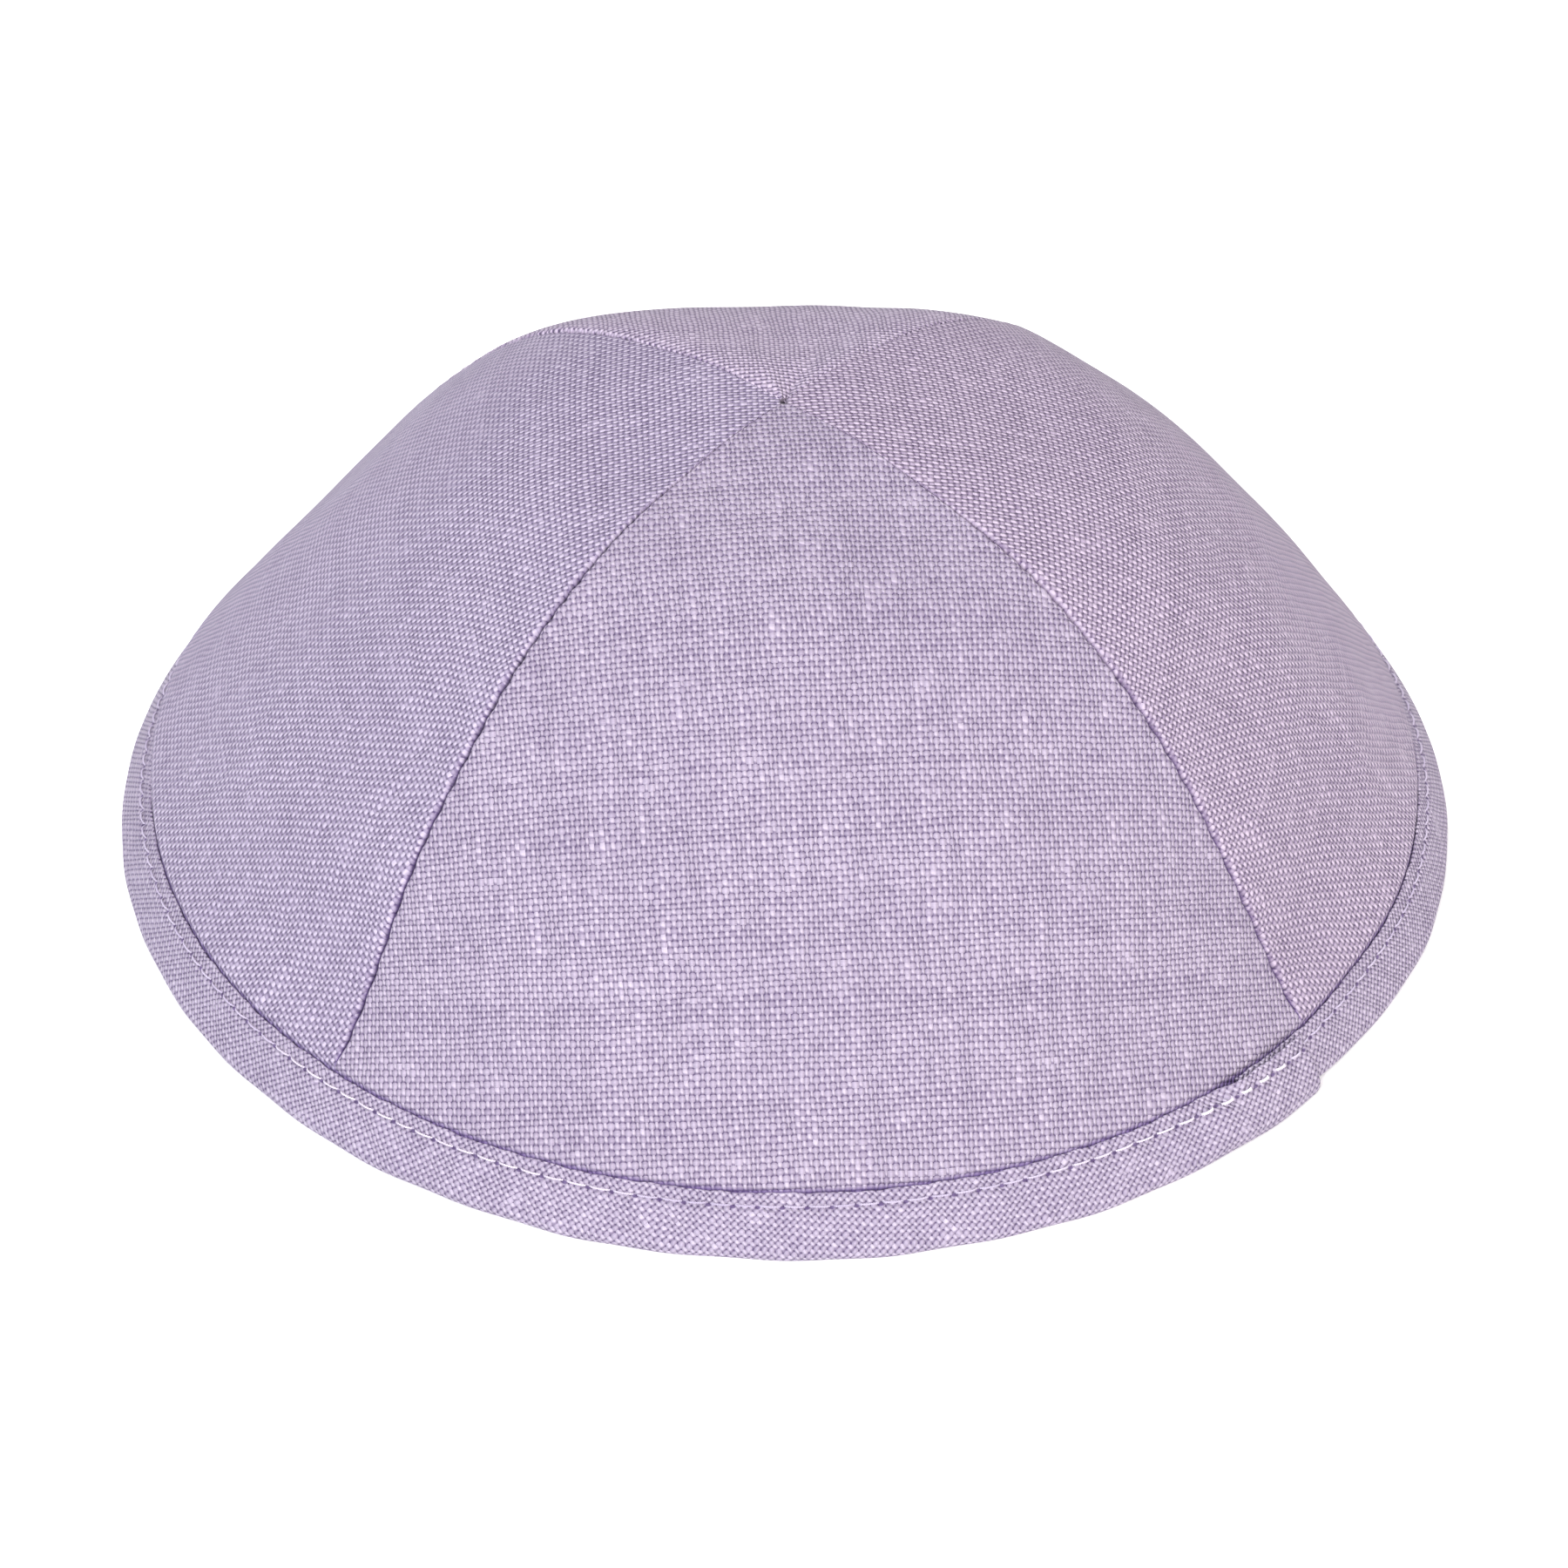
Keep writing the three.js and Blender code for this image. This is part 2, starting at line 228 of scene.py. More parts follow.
def bulge(gore, across, height):
    """How far the cloth stands out at a place of a gore, which is nothing along its seams."""
    azimuth = gore["left"] + (gore["right"] - gore["left"]) * across
    out = np.zeros(np.broadcast(across, height).shape)
    for place in bulges[bulges["side"] == gore["side"]]:
        round_about = ((azimuth - place["azimuth"]) / place["sweep"]) ** 2
        out += place["depth"] * np.exp(-round_about - ((height - place["height"]) / place["spread"]) ** 2)
    return out * smooth_step(4 * across * (1 - across), 0, 0.4)


def gore_places(gore):
    """Places (across, reach) of a gore's grid, and how far each is from its left and right seam."""
    fine = np.linspace(crown_hole / seam_foot, crown_side, 800)
    middle = gore_skin(gore, np.full(800, 0.5), fine)
    run = np.concatenate([[0], np.cumsum(np.linalg.norm(np.diff(middle, axis=0), axis=1))])
    reach = np.interp(np.linspace(0, run[-1], gore_rows + 1), run, fine)
    sweep = math.radians(gore["right"] - gore["left"])
    roundness = section_value(gore["side"], reach)
    width = seam_foot * reach * ((1 - roundness) * math.sin(sweep) + roundness * sweep)
    pull = 0.5 + 0.5 * np.cos(2 * math.pi * seam_foot * reach / pucker_pitch)
    flat = flat_roll + (1 - flat_roll) * np.clip((reach - 0.1) / 0.35, 0, 1) ** 2
    gap = np.minimum(side_gap * (0.3 + 1.4 * pull) * np.maximum(flat, 0.3), width / 12)
    roll = np.minimum(roll_radius * (0.75 + 0.4 * pull) * flat, width / 6)
    turn = np.linspace(0, math.pi / 2, roll_steps + 1)
    edge = gap[:, None] + roll[:, None] * (1 - np.cos(turn))[None, :]
    edge_share = edge / width[:, None]
    inside = np.linspace(0, 1, gore_columns + 1)[None, 1:-1]
    first = edge_share[:, -1:]
    across = np.concatenate([edge_share, first + (1 - 2 * first) * inside, 1 - edge_share[:, ::-1]], axis=1)
    dip = np.zeros_like(across)
    dip[:, : roll_steps + 1] = roll[:, None] * (1 - np.sin(turn))[None, :]
    dip[:, -roll_steps - 1 :] = dip[:, : roll_steps + 1][:, ::-1]
    reach = np.broadcast_to(reach[:, None], across.shape)
    return across, reach, across * width[:, None], (1 - across) * width[:, None], dip


def mitre(normals, azimuth):
    """Directions through the wall at a gore's edge, turned into the upright plane of its seam."""
    plan = plan_direction(azimuth)
    aside = np.array([-plan[1], plan[0], 0.0])
    turned = normals - (normals @ aside)[..., None] * aside
    return turned / np.sum(turned * turned, axis=-1, keepdims=True)


def between_rows(rows, steps):
    """Smooth curves through rows of points, from the second row to the last but one."""
    made = []
    for before, start, end, after in zip(rows[:-3], rows[1:-2], rows[2:-1], rows[3:]):
        for s in np.arange(steps) / steps:
            leave = (end - before) / 2
            arrive = (after - start) / 2
            straight = start * (1 + 2 * s) * (1 - s) ** 2 + end * s * s * (3 - 2 * s)
            made.append(straight + leave * s * (1 - s) ** 2 + arrive * s * s * (s - 1))
    made.append(rows[-2])
    return np.array(made)


def cloth_places(gore, points):
    """Millimetres along the threads: across the grain from a gore's middle line, and down along it."""
    fine = np.linspace(0, 1, 1200)
    line = gore_skin(gore, np.full(1200, 0.5), fine)
    foot = line[-1] + (line[-1] - line[-2]) * np.arange(1, 160)[:, None]
    line = np.concatenate([line, foot])
    ahead = plan_direction((gore["left"] + gore["right"]) / 2)
    aside = np.array([-ahead[1], ahead[0]])
    run = np.concatenate([[0], np.cumsum(np.linalg.norm(np.diff(line, axis=0), axis=1))])
    flat_line = np.stack([line[:, :2] @ ahead, line[:, 2]], axis=1)
    course = unit(np.gradient(flat_line, axis=0))
    out = np.stack([-course[:, 1], course[:, 0]], axis=1)
    flat = points.reshape(-1, 3)
    place = np.stack([flat[:, :2] @ ahead, flat[:, 2]], axis=1)
    down = np.empty(len(place))
    depth = np.empty(len(place))
    for start in range(0, len(place), 3000):
        part = slice(start, start + 3000)
        away = place[part, None] - flat_line
        gaps = (away**2).sum(axis=2)
        least = gaps.min(axis=1, keepdims=True)
        share = np.exp((least - gaps) / (near_blend * least + 1e-7)) * np.gradient(run)
        share /= share.sum(axis=1, keepdims=True)
        down[part] = (share * (run + (away * course).sum(axis=2))).sum(axis=1)
        depth[part] = np.abs((share * (away * out).sum(axis=2)).sum(axis=1))
    side = flat[:, :2] @ aside
    bend = 2 * np.arctan2(depth, np.abs(side) + 1e-9)
    bend = np.minimum(bend, 2.0)
    stretch = np.where(bend > 1e-4, bend / np.maximum(np.sin(bend), 1e-6), 1.0)
    return np.stack([side * stretch, down], axis=1).reshape(points.shape[:-1] + (2,)) * 1000


def closed_shell(name, outside, inside, outside_cloth, inside_cloth, crease_shade):
    """A closed mesh of the cloth's two faces, grids of points, with the cloth's places as its UV map."""
    rows, columns = outside.shape[:2]
    number = np.arange(rows * columns).reshape(rows, columns)
    back = number + rows * columns

    def quads(grid):
        return np.stack([grid[:-1, :-1], grid[1:, :-1], grid[1:, 1:], grid[:-1, 1:]], axis=-1).reshape(-1, 4)

    def strip(one, two):
        return np.stack([one[:-1], one[1:], two[1:], two[:-1]], axis=-1)

    faces = [quads(number), quads(back)[:, ::-1]]
    faces.append(strip(number[0], back[0]))
    faces.append(strip(back[-1], number[-1]))
    faces.append(strip(back[:, 0], number[:, 0]))
    faces.append(strip(number[:, -1], back[:, -1]))
    faces = np.concatenate(faces)
    points = np.concatenate([outside.reshape(-1, 3), inside.reshape(-1, 3)])
    mesh = bpy.data.meshes.new(name)
    mesh.from_pydata(points.tolist(), [], faces.tolist())
    mesh.polygons.foreach_set("use_smooth", np.ones(len(mesh.polygons), bool))
    cloth = np.concatenate([outside_cloth.reshape(-1, 2), inside_cloth.reshape(-1, 2)])
    layer = mesh.uv_layers.new(name="cloth")
    layer.data.foreach_set("uv", cloth[faces.ravel()].ravel().astype(np.float32))
    depth = mesh.attributes.new("crease_shade", "FLOAT", "POINT")
    depth.data.foreach_set("value", np.concatenate([crease_shade.ravel(), crease_shade.ravel()]).astype(np.float32))
    mesh.update()
    piece = bpy.data.objects.new(name, mesh)
    bpy.context.scene.collection.objects.link(piece)
    return piece


def make_gore(gore):
    """One gore, from its point at the crown to its hem inside the tape."""
    across, reach, from_left, from_right, dip = gore_places(gore)
    skin = gore_skin(gore, across, reach)
    skin = skin + grid_normals(skin) * bulge(gore, across, skin[..., 2])[..., None]
    normals = grid_normals(skin)
    shift = np.zeros_like(across)
    for away, proud in ((from_left, gore["left_proud"]), (from_right, gore["right_proud"])):
        length = reach * seam_foot
        pulls = 0.5 - 0.5 * np.cos(2 * math.pi * length / pucker_pitch + 5 * np.sin(length * 90))
        shift -= pucker_depth * pulls * np.exp(-((away / pucker_width) ** 2))
        shift += proud * np.exp(-((away / proud_width) ** 2)) * np.minimum(1, reach / 0.2)
    if gore["side"] == "back":
        middle = 4 * across * (1 - across)
        fullness = (back_shoulders * middle - back_hollow * middle**2) * (0.45 + 0.65 * across)
        shift += fullness * np.clip(reach / 0.35, 0, 1) * np.clip((0.95 - reach) / 0.2, 0, 1)
    free = np.sin(np.clip((1 - reach) / 0.12, 0, 1) * math.pi / 2) * np.clip(reach / 0.25, 0, 1)
    x, y, z = np.moveaxis(skin, -1, 0)
    waves = np.sin(x * 170 + y * 60 + 1.1) * np.sin(z * 190 - x * 45 + 0.4)
    waves = waves + 0.6 * np.sin(y * 210 + x * 95 + z * 120)
    shift += wave_height * waves * free
    edge = roll_steps + 1
    through = normals.copy()
    through[:, :edge] = mitre(normals[:, :edge], gore["left"])
    through[:, -edge:] = mitre(normals[:, -edge:], gore["right"])
    outside = skin + normals * shift[..., None] - through * dip[..., None]
    seam = np.minimum(from_left, from_right)
    wall = bare_wall + (cloth_wall - bare_wall) * np.clip((allowance - seam) / 0.0008 + 0.5, 0, 1)
    inside = skin - through * wall[..., None]
    azimuth = gore["left"] + (gore["right"] - gore["left"]) * across[-1]
    half = cloth_wall / 2
    # The hem's rows: how far up the leg each is, its outside and inside in half walls, its share of the bulge
    hem = [
        (outer_leg + 0.0013, 2.25, -1.1, 0.85),
        (outer_leg + 0.0004, 1.85, -1.0, 0.5),
        (outer_leg - 0.0002, 1.45, -1.0, 0.15),
        (outer_leg - 0.0016, 1.0, -1.0, 0),
        (lap_lift + half, 1.0, -1.0, 0),
        (lap_lift, 0.5, -0.5, 0),
    ]
    over = bulge(gore, across[-1], tape_height)
    faces = []
    for grid, column in ((outside, 1), (inside, 2)):
        rows = [grid[-9], grid[-5]]
        for row in hem:
            out, up = hem_point(row[0], row[column] * half + row[3] * over).T
            rows.append(round_rim(azimuth, out, up))
        curve = between_rows(rows, hem_steps)
        faces.append(np.concatenate([grid[:-5], curve]))
    outside, inside = faces
    cloth = cloth_places(gore, outside)
    # Painted shade in the creases: the rolled-in sides darken towards the seams, except near the crown, and
    # the hem darkens below the tape's edge
    crease_shade = np.zeros(outside.shape[:2])
    crease_shade[: len(dip) - 5] = (dip / np.maximum(dip.max(axis=1, keepdims=True), 1e-9))[:-5]
    crease_shade = crease_shade**2.5 * np.linspace(-0.3, 1.6, len(crease_shade))[:, None].clip(0, 1)
    crease_shade[len(dip) - 5 :] = crease_shade[len(dip) - 6]
    under = len(dip) - 5 + hem_steps + hem_steps // 2
    crease_shade[under:] = np.maximum(crease_shade[under:], np.linspace(0, 3, len(crease_shade) - under)[:, None].clip(0, 1))
    return closed_shell("gore_" + gore["side"], outside, inside, cloth, cloth, crease_shade)


class Wiring:
    """Adds nodes to a tree and links them, so that a formula reads in the order of its working."""

    def __init__(self, tree):
        self.tree = tree

    def add(self, kind, **settings):
        node = self.tree.nodes.new(kind)
        for name, value in settings.items():
            setattr(node, name, value)
        return node

    def feed(self, socket, value):
        if isinstance(value, bpy.types.NodeSocket):
            self.tree.links.new(value, socket)
        else:
            socket.default_value = value

    def math(self, operation, *values):
        node = self.add("ShaderNodeMath", operation=operation)
        for socket, value in zip(node.inputs, values):
            self.feed(socket, value)
        return node.outputs[0]

    def vector(self, x, y, z=0.0):
        node = self.add("ShaderNodeCombineXYZ")
        for socket, value in zip(node.inputs, (x, y, z)):
            self.feed(socket, value)
        return node.outputs[0]

    def noise(self, vector, scale=1.0, detail=0.0):
        node = self.add("ShaderNodeTexNoise", noise_dimensions="2D")
        self.feed(node.inputs["Vector"], vector)
        self.feed(node.inputs["Scale"], scale)
        self.feed(node.inputs["Detail"], detail)
        return node.outputs[0]

    def chance(self, number):
        node = self.add("ShaderNodeTexWhiteNoise", noise_dimensions="1D")
        self.feed(node.inputs["W"], number)
        return node.outputs["Value"]

    def ramp(self, value, low, high, smooth=True):
        node = self.add("ShaderNodeMapRange", interpolation_type="SMOOTHSTEP" if smooth else "LINEAR")
        self.feed(node.inputs["Value"], value)
        self.feed(node.inputs["From Min"], low)
        self.feed(node.inputs["From Max"], high)
        return node.outputs[0]

    def blend(self, share, first, second):
        node = self.add("ShaderNodeMix", data_type="RGBA")
        self.feed(node.inputs[0], share)
        self.feed(node.inputs[6], first)
        self.feed(node.inputs[7], second)
        return node.outputs[2]


def plain_weave():
    """Shader group of a plain weave of uneven linen threads, placed in millimetres along the threads."""
    group = bpy.data.node_groups.new("plain_weave", "ShaderNodeTree")
    wanted = (
        ("Cloth", "NodeSocketVector", (0.0, 0.0, 0.0)),
        ("Warp pitch", "NodeSocketFloat", 0.65),
        ("Weft pitch", "NodeSocketFloat", 0.80),
        ("Warp width", "NodeSocketFloat", 0.64),
        ("Weft width", "NodeSocketFloat", 0.73),
        ("Sway", "NodeSocketFloat", 0.75),
        ("Slubs", "NodeSocketFloat", 1.0),
        ("Relief", "NodeSocketFloat", 0.15),
        ("Painted warp highlight", "NodeSocketFloat", 0.20),
        ("Warp rise", "NodeSocketFloat", 0.05),
        ("Float shade", "NodeSocketFloat", 0.55),
        ("Twist lean", "NodeSocketFloat", 0.35),
    )
    for name, kind, value in wanted:
        group.interface.new_socket(name=name, in_out="INPUT", socket_type=kind).default_value = value
    for name in ("Height", "Gap", "Tone", "Slub"):
        group.interface.new_socket(name=name, in_out="OUTPUT", socket_type="NodeSocketFloat")
    wires = Wiring(group)
    given = wires.add("NodeGroupInput").outputs
    split = wires.add("ShaderNodeSeparateXYZ")
    wires.feed(split.inputs[0], given["Cloth"])
    u, v = split.outputs[0], split.outputs[1]

    # Threads lie a little unevenly, and sway along their length
    def swayed(place, run, side_scale, run_scale, seed):
        where = wires.vector(
            wires.math("MULTIPLY_ADD", place, side_scale, seed), wires.math("MULTIPLY", run, run_scale)
        )
        off = wires.math("SUBTRACT", wires.noise(where, detail=1.5), 0.5)
        return wires.math("MULTIPLY_ADD", off, given["Sway"], place)

    x = wires.math("DIVIDE", swayed(u, v, 0.27, 0.09, 11.3), given["Warp pitch"])
    y = wires.math("DIVIDE", swayed(v, u, 0.24, 0.07, 47.9), given["Weft pitch"])
    warp = wires.math("FLOOR", x)
    weft = wires.math("FLOOR", y)
    across_warp = wires.math("SUBTRACT", wires.math("SUBTRACT", x, warp), 0.5)
    across_weft = wires.math("SUBTRACT", wires.math("SUBTRACT", y, weft), 0.5)
    odd = wires.math("FLOORED_MODULO", wires.math("ADD", warp, weft), 2.0)
    side = wires.math("MULTIPLY_ADD", odd, -2.0, 1.0)

    # Each thread has its own thickness, and slubs where the yarn was spun thick
    def thickness(thread, run, seed, usual):
        own = wires.chance(wires.math("ADD", thread, seed))
        thread_place = wires.math("MULTIPLY", thread, 5.37)
        where = wires.vector(thread_place, wires.math("MULTIPLY_ADD", run, 0.16, seed))
        uneven = wires.noise(where)
        slub = wires.math("MULTIPLY", wires.ramp(uneven, 0.77, 0.87), given["Slubs"])
        fine_place = wires.math("MULTIPLY", thread, 3.11)
        fine_where = wires.vector(fine_place, wires.math("MULTIPLY_ADD", run, 0.45, seed))
        fine = wires.noise(fine_where)
        wide = wires.math("MULTIPLY_ADD", own, 0.10, usual)
        wide = wires.math("MULTIPLY_ADD", wires.math("SUBTRACT", fine, 0.5), 0.24, wide)
        wide = wires.math("MULTIPLY_ADD", slub, 0.45, wide)
        tone = wires.math("MULTIPLY_ADD", own, 0.14, wires.math("MULTIPLY", fine, 0.26))
        return wide, slub, tone

    warp_wide, warp_slub, warp_tone = thickness(warp, v, 3.7, given["Warp width"])
    weft_wide, weft_slub, weft_tone = thickness(weft, u, 91.2, given["Weft width"])

    # Height of a thread: round across, and going over and under the threads that cross it
    def thread_height(across, wide, along, sign):
        doubled = wires.math("MULTIPLY", wires.math("ABSOLUTE", across), 2.0)
        round_off = wires.math("POWER", wires.math("DIVIDE", doubled, wide), 2.0)
        crown = wires.math("SUBTRACT", 0.9, wires.math("MULTIPLY", round_off, 0.9))
        wave = wires.math("COSINE", wires.math("MULTIPLY", along, math.pi))
        return wires.math("MULTIPLY_ADD", wires.math("MULTIPLY", side, sign), wave, crown)

    warp_high = thread_height(across_warp, warp_wide, across_weft, 1.0)
    warp_high = wires.math("ADD", warp_high, given["Warp rise"])
    weft_high = thread_height(across_weft, weft_wide, across_warp, -1.0)
    warp_high = wires.math("MULTIPLY_ADD", warp_slub, 0.55, warp_high)
    weft_high = wires.math("MULTIPLY_ADD", weft_slub, 0.55, weft_high)
    top_is_warp = wires.ramp(wires.math("SUBTRACT", warp_high, weft_high), -0.15, 0.15)
    highest = wires.math("SMOOTH_MAX", warp_high, weft_high, 0.25)

    # Fibres run along whichever thread is on top
    warp_fibres = wires.vector(wires.math("MULTIPLY", u, 9.0), wires.math("MULTIPLY", v, 1.3))
    along_warp = wires.noise(warp_fibres, detail=2.0)
    weft_fibres = wires.vector(wires.math("MULTIPLY", u, 1.3), wires.math("MULTIPLY", v, 9.0))
    along_weft = wires.noise(weft_fibres, detail=2.0)

    def of_top(from_warp, from_weft):
        part = wires.math("MULTIPLY", wires.math("SUBTRACT", from_warp, from_weft), top_is_warp)
        return wires.math("ADD", part, from_weft)

    fibre = wires.math("SUBTRACT", of_top(along_warp, along_weft), 0.5)
    result = wires.add("NodeGroupOutput").inputs
    height = wires.math("MULTIPLY_ADD", fibre, 0.20, highest)
    wires.feed(result["Height"], wires.math("MULTIPLY", height, given["Relief"]))
    wires.feed(result["Gap"], wires.ramp(highest, 0.70, -0.10))
    # Painted highlight and shade: a thread is paler where it lies high and darker where it lies low
    lift = wires.math("MULTIPLY", wires.math("SUBTRACT", highest, 1.2), 0.12)
    tone = wires.math("MULTIPLY_ADD", fibre, 0.4, wires.math("ADD", of_top(warp_tone, weft_tone), lift))
    # Painted highlight: floats of the warp are painted paler than floats of the weft
    tone = wires.math("MULTIPLY_ADD", wires.math("SUBTRACT", top_is_warp, 0.5), given["Painted warp highlight"], tone)
    # Painted light on a warp float: it is painted darker, as painted shade, where it dives behind the next
    # weft, and paler, as a painted highlight, where it comes up
    leaning = wires.math("MULTIPLY", across_warp, given["Twist lean"])
    painted_float_light = wires.math("SINE", wires.math("MULTIPLY", wires.math("SUBTRACT", across_weft, leaning), math.pi))
    painted_float_light = wires.math("POWER", wires.math("MAXIMUM", wires.math("MULTIPLY", painted_float_light, side), 0.0), 1.5)
    painted_float_light = wires.math("MULTIPLY", wires.math("SUBTRACT", painted_float_light, 0.25), top_is_warp)
    tone = wires.math("SUBTRACT", tone, wires.math("MULTIPLY", painted_float_light, given["Float shade"]))
    wires.feed(result["Tone"], tone)
    wires.feed(result["Slub"], of_top(warp_slub, weft_slub))
    return group


weave_group = plain_weave()


# Colour of the painted shade in the seams' creases and under the tape's edge
crease_shade_colour = (0.110, 0.065, 0.215, 1.0)
crown_fade = (45.0, 10.0)


def linen(
    name,
    colours,
    offset,
    turn=0.0,
    pitch=(0.65, 0.80),
    warp=(0.1, 0.1),
    shade=(0.6, 0.35, 0.4),
    tones=(-0.30, 0.80),
    widths=(0.64, 0.73),
):
    """Linen of a lilac yarn. colours are the yarn's darkest and palest, and the painted shade in the gaps
    between threads.

    offset and turn place its pattern, and pitch and widths are the warp's and the weft's. warp is the
    strength of the painted highlight on the warp floats, and how high the warp lies. shade is how strong the
    painted shade is where the floats go under and the painted highlight where they come up, how far that
    leans with the twist, and what is added near the crown. tones are the tones of the darkest and the
    palest yarn.
    """
    dark, light, gap = colours
    material = bpy.data.materials.new(name)
    material.use_nodes = True
    tree = material.node_tree
    wires = Wiring(tree)
    shader = tree.nodes["Principled BSDF"]
    cloth = wires.add("ShaderNodeUVMap", uv_map="cloth").outputs[0]
    placed = wires.add("ShaderNodeMapping", vector_type="POINT")
    wires.feed(placed.inputs["Vector"], cloth)
    placed.inputs["Location"].default_value = offset
    placed.inputs["Rotation"].default_value = (0.0, 0.0, turn)
    weave = wires.add("ShaderNodeGroup")
    weave.node_tree = weave_group
    wires.feed(weave.inputs["Cloth"], placed.outputs[0])
    weave.inputs["Warp pitch"].default_value = pitch[0]
    weave.inputs["Weft pitch"].default_value = pitch[1]
    weave.inputs["Painted warp highlight"].default_value = warp[0]
    weave.inputs["Warp rise"].default_value = warp[1]
    # The painted shade and highlight of the floats, made stronger or weaker near the crown
    from_crown = wires.add("ShaderNodeSeparateXYZ")
    wires.feed(from_crown.inputs[0], cloth)
    near_crown = wires.ramp(from_crown.outputs[1], *crown_fade)
    float_shade = wires.math("MULTIPLY_ADD", near_crown, shade[2], shade[0])
    weave.inputs["Twist lean"].default_value = shade[1]
    weave.inputs["Warp width"].default_value, weave.inputs["Weft width"].default_value = widths
    wires.feed(weave.inputs["Float shade"], float_shade)
    yarn = wires.blend(wires.ramp(weave.outputs["Tone"], *tones, smooth=False), dark, light)
    cloudy = wires.noise(placed.outputs[0], scale=0.05, detail=2.0)
    yarn = wires.blend(wires.math("MULTIPLY", wires.ramp(cloudy, 0.3, 0.8), 0.12), yarn, dark)
    yarn = wires.blend(wires.math("MULTIPLY", weave.outputs["Slub"], 0.12), yarn, light)
    # Painted shade in the gaps between threads, in the gap colour
    colour = wires.blend(wires.math("MULTIPLY", weave.outputs["Gap"], 0.85), yarn, gap)
    # Painted shade in the seams' creases and under the tape's edge
    crease_shade = wires.add("ShaderNodeAttribute", attribute_name="crease_shade").outputs["Fac"]
    colour = wires.blend(wires.math("MULTIPLY", crease_shade, 0.8), colour, crease_shade_colour)
    wires.feed(shader.inputs["Base Color"], colour)
    rough = wires.math("MULTIPLY_ADD", weave.outputs["Gap"], 0.3, 0.55)
    wires.feed(shader.inputs["Roughness"], rough)
    shader.inputs["Specular IOR Level"].default_value = 0.2
    shader.inputs["Sheen Weight"].default_value = 0.03
    shader.inputs["Sheen Roughness"].default_value = 0.5
    bump = wires.add("ShaderNodeBump")
    bump.inputs["Strength"].default_value = 1.0
    bump.inputs["Distance"].default_value = 0.001
    wires.feed(bump.inputs["Height"], weave.outputs["Height"])
    wires.feed(shader.inputs["Normal"], bump.outputs[0])
    return material


# The lilac yarn's darkest and palest colour, and the colour of the painted shade in gaps and needle holes
lilac = ((0.172, 0.134, 0.218, 1.0), (0.410, 0.353, 0.457, 1.0), (0.075, 0.046, 0.130, 1.0))


def tinted(light_tint):
    return [tuple(value * share for value, share in zip(colour, light_tint)) + (1.0,) for colour in lilac]


# Painted light of each gore, as lit and shaded copies of one cloth: a tint that makes its lilac lighter or
# darker, and values of linen that it changes, among them its painted shade and highlight
painted_light_looks = {
    "front": {
        "light_tint": (0.98, 0.99, 0.96),
        "warp": (0.12, 0.10),
        "shade": (0.85, 0.35, 0.4),
        "tones": (-0.18, 0.62),
        "widths": (0.57, 0.83),
    },
    "right": {
        "light_tint": (1.02, 0.99, 0.98),
        "warp": (0.30, 0.50),
        "shade": (1.70, -0.35, -0.6),
        "tones": (-0.22, 0.68),
    },
    "back": {
        "light_tint": (1.05, 1.03, 1.02),
        "warp": (0.00, 0.05),
        "shade": (1.90, 0.0, 0.3),
        "tones": (-0.18, 0.52),
    },
    "left": {
        "light_tint": (0.99, 1.00, 1.01),
        "warp": (0.30, 0.50),
        "shade": (1.70, 0.0, -0.3),
        "tones": (-0.22, 0.68),
    },
}
for number, gore in enumerate(gores):
    piece = make_gore(gore)
    shift = (137.0 + 53.3 * number, 211.0 + 31.7 * number, 0.0)
    painted_light_look = dict(painted_light_looks[gore["side"]])
    cloth = linen("linen_" + gore["side"], tinted(painted_light_look.pop("light_tint")), shift, **painted_light_look)
    piece.data.materials.append(cloth)
    node = "panel_" + gore["side"]
    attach(piece, "root")
    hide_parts(node)

# THE RIM'S TAPE
# A strip of the same linen, cut on the bias and folded in a U over the raw rim. It starts under its own end,
# runs once round the cap and laps over its start beside the front right seam. Both edges are folded under.
inner_leg_height = 0.0074
lap_length = 0.012
lap_ramp = 0.016
tape_end = 49.3
stitch_count = 177
stitch_azimuth = -0.14
stitch_inset = 0.0018
groove_depth = 0.00010
groove_width = 0.00055
hole_dip = 0.00016
hole_width = 0.00045
edge_lean = 0.00022
edge_thinning = 0.00028
edge_reach = 0.0026
edge_ramp = 0.0045
edge_wave = 0.00006
edge_pull = 0.00005
fold_swell = 0.00008
thinnest = 0.00002
stitched_reach = 0.0036
tape_stations = 1400
inner_leg = (inner_leg_height - hem_foot[1] + tape_reach * hem_out[1]) / hem_up[1]
end_round = tape_wall / 2


def tape_profile(spread, lift, edge_spread):
    """Middle line of the tape's wall (along, across), where its outside faces, and half its thickness."""
    middle = tape_reach + spread - tape_wall / 2
    edge = tape_reach + edge_spread - tape_wall / 2 - edge_lean
    edge_half = tape_wall / 2 - edge_thinning
    fold = np.radians([84, 60, 36, 14])
    rows = []
    for turn in fold:
        along = outer_leg - edge_half + edge_half * math.sin(turn)
        rows.append((along, edge, 0.0, edge_half * math.cos(turn)))
    stitched = outer_leg - stitched_reach
    for along in [*np.linspace(outer_leg - edge_half, stitched, 11), *np.linspace(stitched, lift, 5)[1:-1]]:
        drawn = smooth_step(along, outer_leg - edge_reach, outer_leg - edge_half)
        half = end_round + (edge_half - end_round) * drawn
        rows.append((along, middle + (edge - middle) * drawn, 0.0, half))
    for turn in np.linspace(0, math.pi, 10)[:-1]:
        rows.append((lift - middle * math.sin(turn), middle * math.cos(turn), turn, end_round))
    for along in np.linspace(lift, inner_leg - end_round, 4):
        rows.append((along, -middle, math.pi, end_round))
    for turn in fold[::-1]:
        along = inner_leg - end_round + end_round * math.sin(turn)
        rows.append((along, -middle, math.pi, end_round * math.cos(turn)))
    return np.array(rows)


